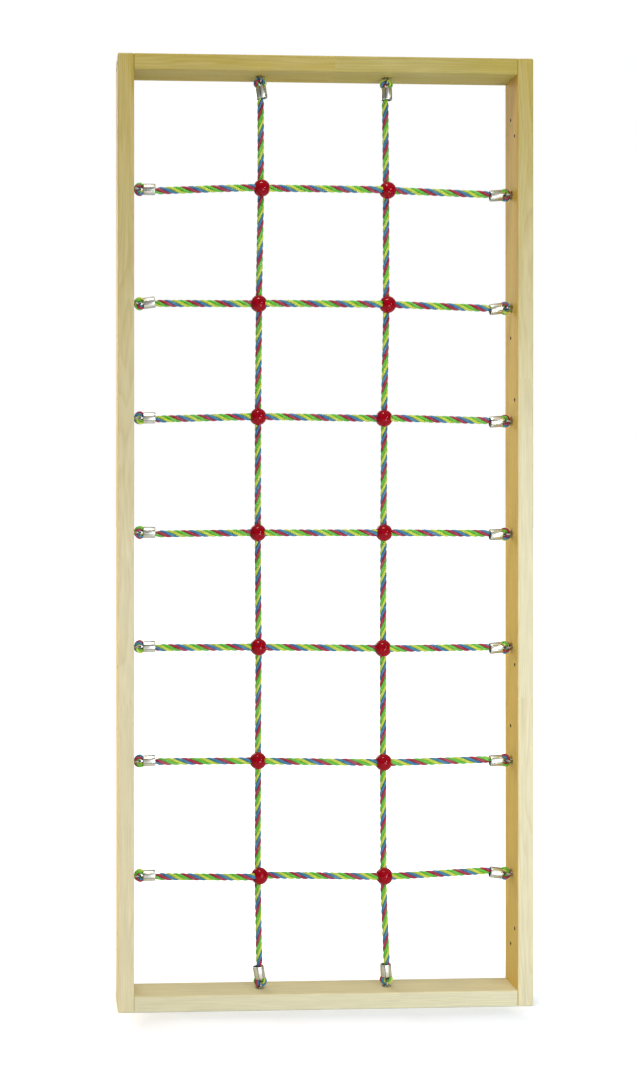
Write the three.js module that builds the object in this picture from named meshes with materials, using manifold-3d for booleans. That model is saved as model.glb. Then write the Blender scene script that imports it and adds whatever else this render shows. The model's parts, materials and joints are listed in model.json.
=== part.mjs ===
// A rope climbing net in a wooden frame: four boards, seven horizontal and two vertical ropes,
// a ball at each crossing, and a screw eye for the loop at each rope's end.
// Millimetres, +Z up, front at -Y, origin at the middle of the frame's underside.

import * as THREE from "three";
import { mergeVertices } from "three/addons/utils/BufferGeometryUtils.js";
import Module from "manifold-3d";

const wasm = await Module();
wasm.setup();

// ---------------------------------------------------------------- driving dimensions

const WIDTH = 900;              // frame, outside
const HEIGHT = 2050;
const BOARD_THICKNESS = 35;
const BOARD_DEPTH = 95;         // front to back
const BOARD_EDGE_RADIUS = 3;
const END_BEVEL = 2;            // the stiles' end edges
const GAP = 0.3;                // between pieces that touch

const ROW_COUNT = 7;
const ROW_ROPE_RADIUS = 8;
const COLUMN_ROPE_RADIUS = 7.3; // the columns are pulled tighter
const ROPE_DEPTH = 5.25;        // rows run this far in front of the middle plane, columns behind it
const ROPE_SIDES = 8;
const RIGHT_EYE_DROP = 5;       // the right stile's eyes sit lower than the left one's

const BALL_RADIUS = 18.5;
const BALL_DEPTH = 3.25;        // ball's centre, in front of the middle plane
const SQUEEZED_RADIUS = 5.1;    // each rope, where the two cross inside a ball
const SQUEEZE_REACH = 9;        // from the crossing, as far as the rope stays squeezed
const MOUTH_REACH = 15;         // from the crossing, where the rope has its full size again
const BORE_REACH = BALL_RADIUS + 1;

const EYE_WIRE_RADIUS = 2.2;
const EYE_RING_RADIUS = 9.2;    // to the middle of the wire
const EYE_RING_HEIGHT = 6.5;    // ring's centre above the board, so its root is sunk in the board
const EYE_SHANK_RADIUS = 2.5;
const EYE_SHANK_DEPTH = 29;     // tip below the board's face
const EYE_SHANK_POINT = 6;      // length of the shank's tapered end
const EYE_DISH_DEPTH = 3;       // the hollow in the board for the ring's root

const LOOP_ROPE_RADIUS = 6;     // the rope is squeezed a little in its end loop
const LOOP_BEND_RADIUS = 8.7;
const LOOP_CENTRE = EYE_RING_HEIGHT + EYE_RING_RADIUS;  // the bend goes round the ring's far wire
const LOOP_STEPS = 6;
const LEG_SPREAD = 6;           // the loop's legs, inside the ferrule, from its axis
const LEG_OVERLAP = 5;          // how far the legs reach into the ferrule

const FERRULE_RADIUS = 12.5;
const FERRULE_LENGTH = 26.5;
const FERRULE_START = 21.5;     // above the board
const FERRULE_SIDES = 12;
const ROPE_EXIT = 3;            // the rope leaves the ferrule off its axis
const ROPE_OVERLAP = 12;        // how far the rope reaches into the ferrule

const SCREW_RADIUS = 3;
const SCREW_HEAD_RADIUS = 6;
const SCREW_HEAD_HEIGHT = 4;
const SCREW_LENGTH = 90;
const SCREW_TIP = 8;
const SCREW_SINK = 2 * GAP;     // the head's top below the board's face
const SCREW_RIM = GAP;          // thickness of the head's edge
const SCREW_OFFSET = 25;        // from the board's middle, to the front and to the back

const HOLE_SIDES = 14;
const CUT_OVERRUN = 1;          // a cutter stands this far out of what it cuts

const FIXING_HOLE_RADIUS = 2.75;
// Holes through both stiles: depth from the front face, distance up and down from mid-height.
const FIXING_HOLES = [
  { depth: 22.5, reach: 288 },
  { depth: 22.5, reach: 862 },
  { depth: 52.5, reach: 425 },
  { depth: 52.5, reach: 903 },
];

// Where each crossing lies off its even place, to the right and up, and the ball's turn about the
// column rope in degrees, anticlockwise from above. Rows from the bottom.
const CROSSINGS = [
  { left: { right: -4.5, up: -2, turn: 20 }, right: { right: -5, up: -4, turn: 0 } },
  { left: { right: -4, up: 0.5, turn: -8 }, right: { right: -6, up: -3.5, turn: -4 } },
  { left: { right: -3, up: 0, turn: -8 }, right: { right: -6, up: -2.5, turn: -14 } },
  { left: { right: -4.5, up: 0.5, turn: -8 }, right: { right: -5, up: 2, turn: -4 } },
  { left: { right: -4, up: 5, turn: -8 }, right: { right: -3.5, up: 4, turn: -14 } },
  { left: { right: -2, up: 3, turn: -10 }, right: { right: 1, up: 4.5, turn: 9 } },
  { left: { right: 2, up: 6.5, turn: 5 }, right: { right: 0.5, up: 6, turn: 13 } },
];

// How far each ferrule's open end leans up (rows) or to the right (columns), rows from the bottom.
const ROW_LEANS = [
  { left: 0, right: 3.5 },
  { left: 1.5, right: -1 },
  { left: 0.5, right: -2.5 },
  { left: -0.5, right: -1 },
  { left: 0.5, right: -2 },
  { left: 4, right: -3.5 },
  { left: 0, right: -2 },
];
const COLUMN_LEANS = {
  left: { bottom: -5, top: 4 },
  right: { bottom: -2, top: 0.5 },
};

// ---------------------------------------------------------------- worked out from them

const INNER_WIDTH = WIDTH - 2 * BOARD_THICKNESS;
const INNER_HEIGHT = HEIGHT - 2 * BOARD_THICKNESS;
const COLUMN_X = { left: -INNER_WIDTH / 6, right: INNER_WIDTH / 6 };
const SIDES = ["left", "right"];
const FERRULE_END = FERRULE_START + FERRULE_LENGTH;

const UP = new THREE.Vector3(0, 0, 1);
const RIGHT = new THREE.Vector3(1, 0, 0);
const BACK = new THREE.Vector3(0, 1, 0);

const rowZ = (row) => BOARD_THICKNESS + (row * INNER_HEIGHT) / (ROW_COUNT + 1);

function eyeZ(row, side) {
  return rowZ(row) - (side === "right" ? RIGHT_EYE_DROP : 0);
}

/** A ball's frame: its origin on the column rope's axis, its X along the row rope's bore. */
function ballFrame(row, side) {
  const along = side === "left" ? 1 / 3 : 2 / 3;
  const { right, up, turn } = CROSSINGS[row - 1][side];
  const x = COLUMN_X[side] + right;
  const z = rowZ(row) - along * RIGHT_EYE_DROP + up;
  return new THREE.Matrix4().makeRotationZ((turn * Math.PI) / 180).setPosition(x, ROPE_DEPTH, z);
}

// ---------------------------------------------------------------- materials

const wood = new THREE.MeshStandardMaterial({ color: 0xd9bd84, roughness: 0.6, metalness: 0 });
const rope = new THREE.MeshStandardMaterial({ color: 0x3f9a4a, roughness: 0.8, metalness: 0 });
const redPlastic = new THREE.MeshStandardMaterial({ color: 0xa80d1c, roughness: 0.2, metalness: 0 });
const steel = new THREE.MeshStandardMaterial({ color: 0xb8bcc0, roughness: 0.35, metalness: 1 });
const zinc = new THREE.MeshStandardMaterial({ color: 0xa9a48f, roughness: 0.4, metalness: 1 });

// ---------------------------------------------------------------- solids

/** Turns a closed geometry, moved by matrix, into a manifold solid. */
function solid(geometry, matrix = new THREE.Matrix4()) {
  const bare = geometry.clone().applyMatrix4(matrix);
  bare.deleteAttribute("normal");
  bare.deleteAttribute("uv");
  const merged = mergeVertices(bare, 1e-4);
  const vertProperties = new Float32Array(merged.attributes.position.array);
  const triVerts = new Uint32Array(merged.index.array);
  return new wasm.Manifold(new wasm.Mesh({ numProp: 3, vertProperties, triVerts }));
}

/** Turns a manifold solid back into a geometry. */
function geometryOf(manifold) {
  const mesh = manifold.getMesh();
  const geometry = new THREE.BufferGeometry();
  geometry.setAttribute("position", new THREE.BufferAttribute(new Float32Array(mesh.vertProperties), 3));
  geometry.setIndex(new THREE.BufferAttribute(new Uint32Array(mesh.triVerts), 1));
  return geometry;
}

const union = (solids) => solids.reduce((whole, next) => whole.add(next));
const difference = (whole, cutters) => cutters.reduce((rest, cutter) => rest.subtract(cutter), whole);

/** A closed tube through stations { point, radius }; it never runs front to back. */
function tube(stations) {
  const positions = [];
  const indices = [];
  stations.forEach(({ point, radius }, ring) => {
    const before = stations[Math.max(ring - 1, 0)].point;
    const after = stations[Math.min(ring + 1, stations.length - 1)].point;
    const along = after.clone().sub(before).normalize();
    const across = new THREE.Vector3().crossVectors(BACK, along).normalize();
    const behind = new THREE.Vector3().crossVectors(along, across);
    for (let side = 0; side < ROPE_SIDES; side += 1) {
      const angle = (2 * Math.PI * (side + 0.5)) / ROPE_SIDES;
      const corner = point.clone();
      corner.addScaledVector(across, radius * Math.cos(angle));
      corner.addScaledVector(behind, radius * Math.sin(angle));
      positions.push(corner.x, corner.y, corner.z);
    }
  });
  const last = (stations.length - 1) * ROPE_SIDES;
  for (let side = 0; side < ROPE_SIDES; side += 1) {
    const next = (side + 1) % ROPE_SIDES;
    for (let ring = 0; ring < last; ring += ROPE_SIDES) {
      const ahead = ring + ROPE_SIDES;
      indices.push(ring + side, ring + next, ahead + next);
      indices.push(ring + side, ahead + next, ahead + side);
    }
    if (side > 0 && next > 0) {
      indices.push(0, next, side);
      indices.push(last, last + side, last + next);
    }
  }
  const geometry = new THREE.BufferGeometry();
  geometry.setAttribute("position", new THREE.BufferAttribute(new Float32Array(positions), 3));
  geometry.setIndex(indices);
  return geometry;
}

/** A turned solid along +Y from points [radius, height]; both ends lie on the axis. */
function turned(points, segments) {
  return new THREE.LatheGeometry(points.map(([r, h]) => new THREE.Vector2(r, h)), segments);
}

/** The matrix that puts a piece's own +Y along direction, at position, with its +Z along side. */
function alongY(direction, position, side) {
  const y = direction.clone().normalize();
  const z = side.clone().normalize();
  const x = new THREE.Vector3().crossVectors(y, z);
  return new THREE.Matrix4().makeBasis(x, y, z).setPosition(position);
}

// ---------------------------------------------------------------- rope ends

/**
 * One rope end: the point on the board under its eye, the direction into the frame, the direction
 * across it in the net's plane, the ferrule's lean and where the rope leaves the ferrule.
 */
function ropeEnd(foot, inward, across, lean, exit) {
  return { foot, inward, across, lean, exit };
}

/** The point at a height above the board and an offset across, on a rope end. */
function endPoint(end, height, offset) {
  return end.foot.clone().addScaledVector(end.inward, height).addScaledVector(end.across, offset);
}

/** The ferrule axis' offset across at a height above the board. */
const axisOffset = (end, height) => (end.lean * (height - FERRULE_START)) / FERRULE_LENGTH;

/** The loop: from inside the ferrule, round the eye's far wire, and back into the ferrule. */
function loopSolid(end) {
  const legEnd = FERRULE_START + LEG_OVERLAP;
  const points = [endPoint(end, legEnd, axisOffset(end, legEnd) + LEG_SPREAD)];
  for (let i = 0; i <= LOOP_STEPS; i += 1) {
    const angle = Math.PI / 2 - (Math.PI * i) / LOOP_STEPS;
    const height = LOOP_CENTRE - LOOP_BEND_RADIUS * Math.cos(angle);
    points.push(endPoint(end, height, LOOP_BEND_RADIUS * Math.sin(angle)));
  }
  points.push(endPoint(end, legEnd, axisOffset(end, legEnd) - LEG_SPREAD));
  return solid(tube(points.map((point) => ({ point, radius: LOOP_ROPE_RADIUS }))));
}

/** The ferrule: a short sleeve, pressed solid round the rope and the loop's legs. */
function ferruleSolid(end) {
  const r = FERRULE_RADIUS;
  const profile = [[0, 0], [r, 0], [r, FERRULE_LENGTH], [0, FERRULE_LENGTH]];
  const start = endPoint(end, FERRULE_START, 0);
  const axis = endPoint(end, FERRULE_END, end.lean).sub(start);
  return solid(turned(profile, FERRULE_SIDES), alongY(axis, start, BACK));
}

/** The rope from inside the ferrule to its mouth. */
function exitStations(end, radius) {
  const across = end.lean + end.exit;
  const inside = endPoint(end, FERRULE_END - ROPE_OVERLAP, across);
  return [{ point: inside, radius }, { point: endPoint(end, FERRULE_END, across), radius }];
}

/** The row rope in its bore through a ball: full size at both mouths, squeezed at the crossing. */
function rowBoreStations(frame) {
  return boreStations(ROW_ROPE_RADIUS, (reach) => (
    new THREE.Vector3(reach, -2 * ROPE_DEPTH, 0).applyMatrix4(frame)
  ));
}

/** The column rope in its bore through a ball. */
function columnBoreStations(frame) {
  return boreStations(COLUMN_ROPE_RADIUS, (reach) => new THREE.Vector3(0, 0, reach).applyMatrix4(frame));
}

function boreStations(radius, place) {
  return [
    { point: place(-BORE_REACH), radius },
    { point: place(-MOUTH_REACH), radius },
    { point: place(-SQUEEZE_REACH), radius: SQUEEZED_RADIUS },
    { point: place(SQUEEZE_REACH), radius: SQUEEZED_RADIUS },
    { point: place(MOUTH_REACH), radius },
    { point: place(BORE_REACH), radius },
  ];
}

// ---------------------------------------------------------------- the net's ropes

const rowEnds = (row) => {
  const leans = ROW_LEANS[row - 1];
  const left = new THREE.Vector3(-INNER_WIDTH / 2, 0, eyeZ(row, "left"));
  const right = new THREE.Vector3(INNER_WIDTH / 2, 0, eyeZ(row, "right"));
  return {
    left: ropeEnd(left, RIGHT, UP, leans.left, -ROPE_EXIT),
    right: ropeEnd(right, RIGHT.clone().negate(), UP, leans.right, ROPE_EXIT),
  };
};

const columnEnds = (side) => {
  const leans = COLUMN_LEANS[side];
  const bottom = new THREE.Vector3(COLUMN_X[side], 0, BOARD_THICKNESS);
  const top = new THREE.Vector3(COLUMN_X[side], 0, HEIGHT - BOARD_THICKNESS);
  return {
    bottom: ropeEnd(bottom, UP, RIGHT, leans.bottom, ROPE_EXIT),
    top: ropeEnd(top, UP.clone().negate(), RIGHT, leans.top, -ROPE_EXIT),
  };
};

const ropes = [];
for (let row = 1; row <= ROW_COUNT; row += 1) {
  const ends = rowEnds(row);
  const stations = [
    ...exitStations(ends.left, ROW_ROPE_RADIUS),
    ...SIDES.flatMap((side) => rowBoreStations(ballFrame(row, side))),
    ...exitStations(ends.right, ROW_ROPE_RADIUS).reverse(),
  ];
  ropes.push({ name: `row_rope_${row}`, row, ends, stations });
}
for (const side of SIDES) {
  const ends = columnEnds(side);
  const stations = [
    ...exitStations(ends.bottom, COLUMN_ROPE_RADIUS),
    ...CROSSINGS.flatMap((crossing, index) => columnBoreStations(ballFrame(index + 1, side))),
    ...exitStations(ends.top, COLUMN_ROPE_RADIUS).reverse(),
  ];
  ropes.push({ name: `column_rope_${side}`, side, ends, stations });
}

/** A whole rope: its span, and the loop and ferrule at each end. */
function ropeGeometry({ ends, stations }) {
  const pieces = [solid(tube(stations))];
  for (const end of Object.values(ends)) {
    pieces.push(ferruleSolid(end), loopSolid(end));
  }
  return geometryOf(union(pieces));
}

// ---------------------------------------------------------------- balls

/** The straight bore that a rope's stations through a ball need. */
function boreSolid(stations) {
  const ends = [stations[0], stations[stations.length - 1]];
  return solid(tube(ends.map(({ point, radius }) => ({ point, radius: radius + GAP }))));
}

/** A ball, bored for the row rope near its middle and for the column rope behind that. */
function ballGeometry(row, side) {
  const frame = ballFrame(row, side);
  const centre = new THREE.Matrix4().makeTranslation(0, -ROPE_DEPTH - BALL_DEPTH, 0);
  const sphere = new THREE.SphereGeometry(BALL_RADIUS, 12, 8);
  const ball = solid(sphere, frame.clone().multiply(centre));
  const bores = [boreSolid(rowBoreStations(frame)), boreSolid(columnBoreStations(frame))];
  return geometryOf(difference(ball, bores));
}

// ---------------------------------------------------------------- screw eyes

/** A screw eye: a ring edge-on to the net's plane, on a pointed shank. */
function eyeGeometry(end) {
  const ring = new THREE.TorusGeometry(EYE_RING_RADIUS, EYE_WIRE_RADIUS, 5, 12);
  const centre = endPoint(end, EYE_RING_HEIGHT, 0);
  const root = EYE_RING_HEIGHT - EYE_RING_RADIUS;
  const profile = [
    [0, -EYE_SHANK_DEPTH],
    [EYE_SHANK_RADIUS, EYE_SHANK_POINT - EYE_SHANK_DEPTH],
    [EYE_SHANK_RADIUS, root],
    [0, root],
  ];
  const shank = turned(profile, 6);
  // The ring lies in its own XY plane, which becomes the plane of inward and depth.
  return geometryOf(union([
    solid(ring, alongY(end.inward, centre, end.across)),
    solid(shank, alongY(end.inward, end.foot, end.across)),
  ]));
}

/** What a board loses for an eye: a dish that the ring's root turned in, and the shank's hole. */
function eyeSocket(end) {
  const reach = EYE_RING_RADIUS + EYE_WIRE_RADIUS + 2 * GAP;
  const dishRadius = (height) => Math.sqrt(reach ** 2 - (EYE_RING_HEIGHT - height) ** 2) + 2 * GAP;
  const holeRadius = EYE_SHANK_RADIUS + 2 * GAP;
  const holeEnd = -EYE_SHANK_DEPTH - 2 * GAP;
  const profile = [
    [0, holeEnd],
    [holeRadius, holeEnd],
    [holeRadius, EYE_RING_HEIGHT - reach],
    [dishRadius(-EYE_DISH_DEPTH), -EYE_DISH_DEPTH],
    [dishRadius(CUT_OVERRUN), CUT_OVERRUN],
    [0, CUT_OVERRUN],
  ];
  return solid(turned(profile, HOLE_SIDES), alongY(end.inward, end.foot, end.across));
}

// ---------------------------------------------------------------- boards

/** A board along +Z from the origin: a rectangle with rounded corners, its ends bevelled if asked. */
function boardGeometry(length, endBevel) {
  const w = BOARD_THICKNESS / 2;
  const d = BOARD_DEPTH / 2;
  const r = BOARD_EDGE_RADIUS;
  const section = new THREE.Shape();
  section.moveTo(-w + r, -d);
  section.absarc(w - r, -d + r, r, -Math.PI / 2, 0, false);
  section.absarc(w - r, d - r, r, 0, Math.PI / 2, false);
  section.absarc(-w + r, d - r, r, Math.PI / 2, Math.PI, false);
  section.absarc(-w + r, -d + r, r, Math.PI, 1.5 * Math.PI, false);
  const options = {
    depth: length - 2 * endBevel,
    curveSegments: 4,
    bevelEnabled: endBevel > 0,
    bevelThickness: endBevel,
    bevelSize: endBevel,
    bevelOffset: -endBevel,
    bevelSegments: 1,
  };
  return new THREE.ExtrudeGeometry(section, options).translate(0, 0, endBevel);
}

const stileX = { left: -(WIDTH - BOARD_THICKNESS) / 2, right: (WIDTH - BOARD_THICKNESS) / 2 };
const railZ = { bottom: BOARD_THICKNESS / 2, top: HEIGHT - BOARD_THICKNESS / 2 };

/** The corner screws: each goes from a stile's outer face into a rail's end. */
const cornerScrews = [];
for (const side of SIDES) {
  for (const level of ["bottom", "top"]) {
    for (const [place, y] of [["front", -SCREW_OFFSET], ["back", SCREW_OFFSET]]) {
      const outward = side === "left" ? -1 : 1;
      const head = new THREE.Vector3((outward * WIDTH) / 2, y, railZ[level]);
      const direction = new THREE.Vector3(-outward, 0, 0);
      cornerScrews.push({ name: `corner_screw_${level}_${side}_${place}`, side, level, head, direction });
    }
  }
}

/** A countersunk screw's profile from top down, or its hole's, which is wider by room. */
function screwProfile(top, room) {
  const headRadius = SCREW_HEAD_RADIUS + room;
  const radius = SCREW_RADIUS + room;
  return [
    [0, top],
    [headRadius, top],
    [headRadius, SCREW_SINK + SCREW_RIM],
    [radius, SCREW_HEAD_HEIGHT],
    [radius, SCREW_LENGTH - SCREW_TIP + room],
    [0, SCREW_LENGTH + room],
  ];
}

const screwMatrix = (screw) => alongY(screw.direction, screw.head, UP);
const screwSolid = (screw) => solid(turned(screwProfile(SCREW_SINK, 0), HOLE_SIDES), screwMatrix(screw));
const screwHole = (screw) => solid(turned(screwProfile(-CUT_OVERRUN, GAP), HOLE_SIDES), screwMatrix(screw));

/** The fixing holes through one stile. */
function fixingHoles(side) {
  const r = FIXING_HOLE_RADIUS;
  const end = BOARD_THICKNESS / 2 + CUT_OVERRUN;
  const hole = turned([[0, -end], [r, -end], [r, end], [0, end]], HOLE_SIDES);
  const holes = [];
  for (const { depth, reach } of FIXING_HOLES) {
    for (const z of [HEIGHT / 2 - reach, HEIGHT / 2 + reach]) {
      const centre = new THREE.Vector3(stileX[side], depth - BOARD_DEPTH / 2, z);
      holes.push(solid(hole, alongY(RIGHT, centre, UP)));
    }
  }
  return holes;
}

function stileGeometry(side) {
  const board = solid(
    boardGeometry(HEIGHT, END_BEVEL),
    new THREE.Matrix4().makeTranslation(stileX[side], 0, 0),
  );
  const cutters = fixingHoles(side);
  for (const item of ropes) {
    if (item.row) {
      cutters.push(eyeSocket(item.ends[side]));
    }
  }
  for (const screw of cornerScrews.filter((item) => item.side === side)) {
    cutters.push(screwHole(screw));
  }
  return geometryOf(difference(board, cutters));
}

function railGeometry(level) {
  const length = INNER_WIDTH - 2 * GAP;
  const lay = new THREE.Matrix4().makeRotationY(Math.PI / 2);
  const place = new THREE.Matrix4().makeTranslation(-length / 2, 0, railZ[level]);
  const board = solid(boardGeometry(length, 0), place.multiply(lay));
  const cutters = [];
  for (const item of ropes) {
    if (item.side) {
      cutters.push(eyeSocket(item.ends[level]));
    }
  }
  for (const screw of cornerScrews.filter((item) => item.level === level)) {
    cutters.push(screwHole(screw));
  }
  return geometryOf(difference(board, cutters));
}

// ---------------------------------------------------------------- assembly

const climbingNet = new THREE.Group();

function addPiece(name, geometry, material) {
  const mesh = new THREE.Mesh(geometry, material);
  mesh.name = name;
  climbingNet.add(mesh);
}

for (const side of SIDES) {
  addPiece(`${side}_stile`, stileGeometry(side), wood);
}
for (const level of ["bottom", "top"]) {
  addPiece(`${level}_rail`, railGeometry(level), wood);
}
for (const screw of cornerScrews) {
  addPiece(screw.name, geometryOf(screwSolid(screw)), zinc);
}
for (const item of ropes) {
  addPiece(item.name, ropeGeometry(item), rope);
  for (const [place, end] of Object.entries(item.ends)) {
    addPiece(`screw_eye_${item.row ?? item.side}_${place}`, eyeGeometry(end), steel);
  }
}
for (let row = 1; row <= ROW_COUNT; row += 1) {
  for (const side of SIDES) {
    addPiece(`ball_${row}_${side}`, ballGeometry(row, side), redPlastic);
  }
}

export default climbingNet;
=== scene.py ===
"""The looks of a rope climbing net in a wooden frame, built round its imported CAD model.

Metres, +Z up, front at -Y.
"""

import json
import math

import bmesh
import bpy
import numpy as np
from mathutils import Matrix, Vector

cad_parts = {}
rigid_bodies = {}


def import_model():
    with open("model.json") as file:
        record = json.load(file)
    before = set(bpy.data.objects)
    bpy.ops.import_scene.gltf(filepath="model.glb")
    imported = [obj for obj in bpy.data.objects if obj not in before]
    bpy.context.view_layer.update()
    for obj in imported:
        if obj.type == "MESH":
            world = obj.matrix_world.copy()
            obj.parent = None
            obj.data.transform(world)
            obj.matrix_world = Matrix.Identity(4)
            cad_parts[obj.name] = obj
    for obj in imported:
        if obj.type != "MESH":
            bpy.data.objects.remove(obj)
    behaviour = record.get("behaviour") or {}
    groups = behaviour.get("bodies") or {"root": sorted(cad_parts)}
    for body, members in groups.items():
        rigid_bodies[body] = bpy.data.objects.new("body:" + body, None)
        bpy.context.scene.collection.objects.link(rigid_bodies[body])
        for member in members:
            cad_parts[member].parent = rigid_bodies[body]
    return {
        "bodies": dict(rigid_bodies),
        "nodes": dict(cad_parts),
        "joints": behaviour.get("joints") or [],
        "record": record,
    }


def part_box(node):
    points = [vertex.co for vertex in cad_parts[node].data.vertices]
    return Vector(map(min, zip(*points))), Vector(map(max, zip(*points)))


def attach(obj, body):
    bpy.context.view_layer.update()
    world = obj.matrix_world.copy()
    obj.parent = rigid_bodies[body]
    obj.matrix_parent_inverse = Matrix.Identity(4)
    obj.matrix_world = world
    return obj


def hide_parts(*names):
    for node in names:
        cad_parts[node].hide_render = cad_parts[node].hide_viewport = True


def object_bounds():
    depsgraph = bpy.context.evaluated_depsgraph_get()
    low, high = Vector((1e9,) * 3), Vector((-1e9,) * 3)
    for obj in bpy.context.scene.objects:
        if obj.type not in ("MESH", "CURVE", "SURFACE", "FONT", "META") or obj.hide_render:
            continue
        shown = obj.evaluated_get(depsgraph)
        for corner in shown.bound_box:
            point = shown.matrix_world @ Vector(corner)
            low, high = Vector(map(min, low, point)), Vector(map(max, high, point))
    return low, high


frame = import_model()
cad_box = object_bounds()

MM = 0.001
SIDES = ("left", "right")
ROWS = range(1, 8)  # from the bottom

# ------------------------------------------------------------------ sizes shared with the CAD model

ROW_ROPE_RADIUS = 8 * MM
COLUMN_ROPE_RADIUS = 7.3 * MM
ROPE_DEPTH = 5.25 * MM  # rows run in front of the middle plane, columns behind it
BALL_RADIUS = 18.5 * MM
BALL_DEPTH = 3.25 * MM
SQUEEZED_RADIUS = 5.1 * MM
RIGHT_EYE_DROP = 5 * MM
EYE_WIRE_RADIUS = 2.2 * MM
EYE_RING_RADIUS = 9.2 * MM
EYE_RING_HEIGHT = 6.5 * MM
EYE_SHANK_RADIUS = 2.5 * MM
EYE_SHANK_DEPTH = 29 * MM
EYE_SHANK_POINT = 6 * MM
LOOP_BEND_RADIUS = 8.7 * MM
LOOP_CENTRE = EYE_RING_HEIGHT + EYE_RING_RADIUS
FERRULE_RADIUS = 12.5 * MM
FERRULE_LENGTH = 26.5 * MM
FERRULE_START = 21.5 * MM
FERRULE_END = FERRULE_START + FERRULE_LENGTH
ROPE_EXIT = 3 * MM
SCREW_RADIUS = 3 * MM
SCREW_HEAD_RADIUS = 6 * MM
SCREW_HEAD_HEIGHT = 4 * MM
SCREW_TIP = 8 * MM
FIXING_HOLE_RADIUS = 2.75 * MM
# Holes through both stiles: depth from the front face, distance up and down from mid-height, in mm.
FIXING_HOLES = [(22.5, 288), (22.5, 862), (52.5, 425), (52.5, 903)]

# Where each crossing lies off its even place, to the right and up in mm, and the ball's turn about
# the column rope in degrees, anticlockwise from above. Rows from the bottom.
CROSSINGS = {
    "left": [
        (-4.5, -2, 20),
        (-4, 0.5, -8),
        (-3, 0, -8),
        (-4.5, 0.5, -8),
        (-4, 5, -8),
        (-2, 3, -10),
        (2, 6.5, 5),
    ],
    "right": [
        (-5, -4, 0),
        (-6, -3.5, -4),
        (-6, -2.5, -14),
        (-5, 2, -4),
        (-3.5, 4, -14),
        (1, 4.5, 9),
        (0.5, 6, 13),
    ],
}

# How far each ferrule's open end leans up (rows, from the bottom) or to the right (columns), in mm.
ROW_LEANS = [(0, 3.5), (1.5, -1), (0.5, -2.5), (-0.5, -1), (0.5, -2), (4, -3.5), (0, -2)]
COLUMN_LEANS = {"left": (-5, 4), "right": (-2, 0.5)}

# ------------------------------------------------------------------ shapes finer than the CAD model's

# Length of a full turn, and a place where the red strand faces the front: along X for the rows,
# from the bottom, and along Z for the columns, in mm.
ROW_TWISTS = [(60, -350), (70, -354), (62, -317), (64, -353), (61.5, -317), (62, -343), (65, 98)]
COLUMN_TWISTS = {"left": (64.1, 274.5), "right": (64, 261.5)}
TURNED_ROWS = {2}  # this row's strands come in the opposite order

# A strand's section in a rope of radius 1.
STRAND_CENTRE = 0.545  # from the rope's axis to a strand's
STRAND_RADIUS = 0.455
STRAND_GAP = 0.01
STRAND_SIDES = 14
ROPE_STEP = 4 * MM
# The strands in the order that they come round the rope, starting from the red one.
STRAND_ORDER = ("red", "green", "yellow", "blue")

# Along a rope, from where it crosses the other one in a ball.
SQUEEZE_REACH = 9 * MM  # as far as it stays squeezed
MOUTH_REACH = 15 * MM  # where it has its full size again
BORE_REACH = 20 * MM  # just outside the ball
BORE_ROOM = 0.4 * MM  # between a rope and its bore
# A ball's bores, along X for the row and along Z for the column: radius, and place behind its middle.
BORE_RADIUS = {"X": ROW_ROPE_RADIUS + BORE_ROOM, "Z": COLUMN_ROPE_RADIUS + BORE_ROOM}
BORE_DEPTH = {"X": BALL_DEPTH - ROPE_DEPTH, "Z": BALL_DEPTH + ROPE_DEPTH}

LOOP_ROPE_RADIUS = 6.1 * MM
LOOP_BEND_POINTS = 8
LOOP_SHARE = 0.1  # of a rope's points at each end, where its loop turns back on itself
SWELL_SHARE = 0.06  # of the way from a ferrule to the first ball, where the rope has its full size
PRESSED_RADIUS = 5.1 * MM  # inside the ferrule
PRESSED_SPREAD = 5 * MM  # the two ropes inside the ferrule, from its axis
TAIL_CUT = 5 * MM  # the tail ends this far inside the ferrule's open end
LOOP_ENTRY = 3 * MM  # the loop's ropes are pressed from this far inside the ferrule's other end

FERRULE_POINTS = 160  # round the sleeve
FERRULE_FLATS = 8
FERRULE_FLATNESS = 0.55  # 0 is a round sleeve, 1 has sharp corners
CREASE_DEPTH = 0.6 * MM
CREASE_WIDTH = 0.07  # in radians
FLATS_TURN = 0.14  # most that a ferrule's flats are turned either way, in radians
SLOT_HALF_LENGTH = 10.2 * MM
SLOT_HALF_WIDTH = 6.2 * MM
# From a ferrule's end, in mm, with the outside's scale there, and with how much wider the slot is.
FERRULE_EDGE = [(0.0, 0.89), (0.2, 0.935), (0.7, 0.975), (1.6, 1.0)]
SLOT_MOUTH = [(0.0, 0.6), (0.25, 0.2), (0.9, 0.0), (7.0, -0.2)]

EYE_TIP_RADIUS = 0.3 * MM
EYE_NECK = 3 * MM  # where the shank thickens towards the ring
SCREW_POINTS = 48  # round the screw
THREAD_START = -40 * MM  # below the head's top
THREAD_PITCH = 1.5 * MM
RECESS_DEPTH = 2.6 * MM
RECESS_CHAMFER = 0.2 * MM
BALL_VOXEL = 0.5 * MM
BALL_LIP = (0.3 * MM, 1.4 * MM)  # from a bore's wall, where its rounded lip starts to end and ends


# ------------------------------------------------------------------ mesh helpers


def mesh_object(name, vertices, faces, material):
    mesh = bpy.data.meshes.new(name)
    mesh.from_pydata([tuple(v) for v in vertices], [], faces)
    mesh.validate()
    mesh.shade_smooth()
    mesh.materials.append(material)
    piece = bpy.data.objects.new(name, mesh)
    bpy.context.scene.collection.objects.link(piece)
    return piece


def bmesh_object(name, bm):
    """An object made from a bmesh, which is used up."""
    mesh = bpy.data.meshes.new(name)
    bm.to_mesh(mesh)
    bm.free()
    piece = bpy.data.objects.new(name, mesh)
    bpy.context.scene.collection.objects.link(piece)
    return piece


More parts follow.
